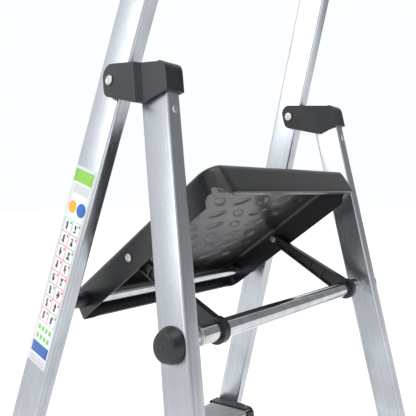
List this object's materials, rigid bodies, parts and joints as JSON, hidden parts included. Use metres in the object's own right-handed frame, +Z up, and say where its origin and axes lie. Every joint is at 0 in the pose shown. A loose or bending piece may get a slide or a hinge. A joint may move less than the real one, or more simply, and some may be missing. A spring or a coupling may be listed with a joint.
{
  "type": "folding step ladder",
  "caption": "Free-standing aluminium step ladder with ribbed treads, a fold-up platform, a splayed rear frame and a raised handle with a tool tray.",
  "frame": {"origin": "middle of the ladder's footprint, on the floor it stands on", "axes": "+Z up, +X across the ladder to the right leg pair, +Y from the steps towards the rear legs"},
  "size_m": [0.6284, 0.7632, 1.6962],
  "materials": {
    "aluminium": "extruded aluminium with fine lengthwise drawing lines, satin",
    "tread_aluminium": "ribbed extruded aluminium, satin",
    "black_plastic": "injection-moulded black plastic, fine grain, satin",
    "powder_black": "black powder-coated pressed steel, satin with fine orange peel",
    "chrome": "bright chrome plate",
    "zinc_steel": "bright zinc-plated steel",
    "rubber": "moulded black rubber, matt"
  },
  "bodies": {
    "front_frame": {"front_foot_left": "rubber", "front_foot_right": "rubber", "front_stile_left": "aluminium", "front_stile_right": "aluminium", "handle_rivet_left": "zinc_steel", "handle_rivet_right": "zinc_steel", "platform_bolt_left": "zinc_steel", "platform_bolt_right": "zinc_steel", "platform_spacer_left": "black_plastic", "platform_spacer_right": "black_plastic", "top_handle": "black_plastic", "tread_1": "tread_aluminium", "tread_2": "tread_aluminium", "tread_3": "tread_aluminium", "tread_bracket_1_left": "black_plastic", "tread_bracket_1_right": "black_plastic", "tread_bracket_2_left": "black_plastic", "tread_bracket_2_right": "black_plastic", "tread_bracket_3_left": "black_plastic", "tread_bracket_3_right": "black_plastic", "tread_rivet_1a_left": "zinc_steel", "tread_rivet_1a_right": "zinc_steel", "tread_rivet_1b_left": "zinc_steel", "tread_rivet_1b_right": "zinc_steel", "tread_rivet_2a_left": "zinc_steel", "tread_rivet_2a_right": "zinc_steel", "tread_rivet_2b_left": "zinc_steel", "tread_rivet_2b_right": "zinc_steel", "tread_rivet_3a_left": "zinc_steel", "tread_rivet_3a_right": "zinc_steel", "tread_rivet_3b_left": "zinc_steel", "tread_rivet_3b_right": "zinc_steel"},
    "hinge_pins": {"hinge_pin_right": "zinc_steel", "hinge_pin_left": "zinc_steel"},
    "rear_frame": {"brace_rivet_1_left": "zinc_steel", "brace_rivet_1_right": "zinc_steel", "brace_rivet_2_left": "zinc_steel", "brace_rivet_2_right": "zinc_steel", "cap_screw_left": "zinc_steel", "cap_screw_right": "zinc_steel", "crossbar_knob_left": "black_plastic", "crossbar_knob_right": "black_plastic", "crossbar_spigot_left": "zinc_steel", "crossbar_spigot_right": "zinc_steel", "hinge_cap_left": "black_plastic", "hinge_cap_right": "black_plastic", "rear_brace_1": "aluminium", "rear_brace_2": "aluminium", "rear_foot_left": "rubber", "rear_foot_right": "rubber", "rear_leg_left": "aluminium", "rear_leg_right": "aluminium"},
    "pivot_tube": {"pivot_tube": "chrome"},
    "platform": {"platform_tray": "powder_black"},
    "strut_rivets": {"strut_rivet_right": "zinc_steel", "strut_rivet_left": "zinc_steel"},
    "struts": {"strut_right": "black_plastic", "strut_left": "black_plastic", "crossbar": "chrome"}
  },
  "joints": [
    {"name": "rear_fold", "type": "hinge", "parent": "front_frame", "child": "hinge_pins", "pos_m": [0, 0.0697, 1.29137], "axis": [1, 0, 0], "range_deg": [-28, 0]},
    {"name": "rear_open", "type": "hinge", "parent": "hinge_pins", "child": "rear_frame", "pos_m": [0, 0.0697, 1.29137], "axis": [1, 0, 0], "range_deg": [0, 7.8]},
    {"name": "platform_fold", "type": "hinge", "parent": "front_frame", "child": "pivot_tube", "pos_m": [0, -0.02277, 1.05434], "axis": [1, 0, 0], "range_deg": [-1, 50]},
    {"name": "platform_lower", "type": "hinge", "parent": "pivot_tube", "child": "platform", "pos_m": [0, -0.02277, 1.05434], "axis": [-1, 0, 0], "range_deg": [-0.5, 29]},
    {"name": "strut_fold", "type": "hinge", "parent": "platform", "child": "strut_rivets", "pos_m": [0, 0.05313, 1.10808], "axis": [1, 0, 0], "range_deg": [-86.5, 1]},
    {"name": "strut_swing", "type": "hinge", "parent": "strut_rivets", "child": "struts", "pos_m": [0, 0.05313, 1.10808], "axis": [1, 0, 0], "range_deg": [-1, 56]}
  ],
  "couplings": [
    {"joint": "platform_fold", "follows": "rear_fold", "ratio": -1.7522},
    {"joint": "strut_fold", "follows": "rear_fold", "ratio": 3.062},
    {"joint": "platform_lower", "follows": "rear_open", "ratio": 3.6558},
    {"joint": "strut_swing", "follows": "rear_open", "ratio": 7.0816}
  ]
}
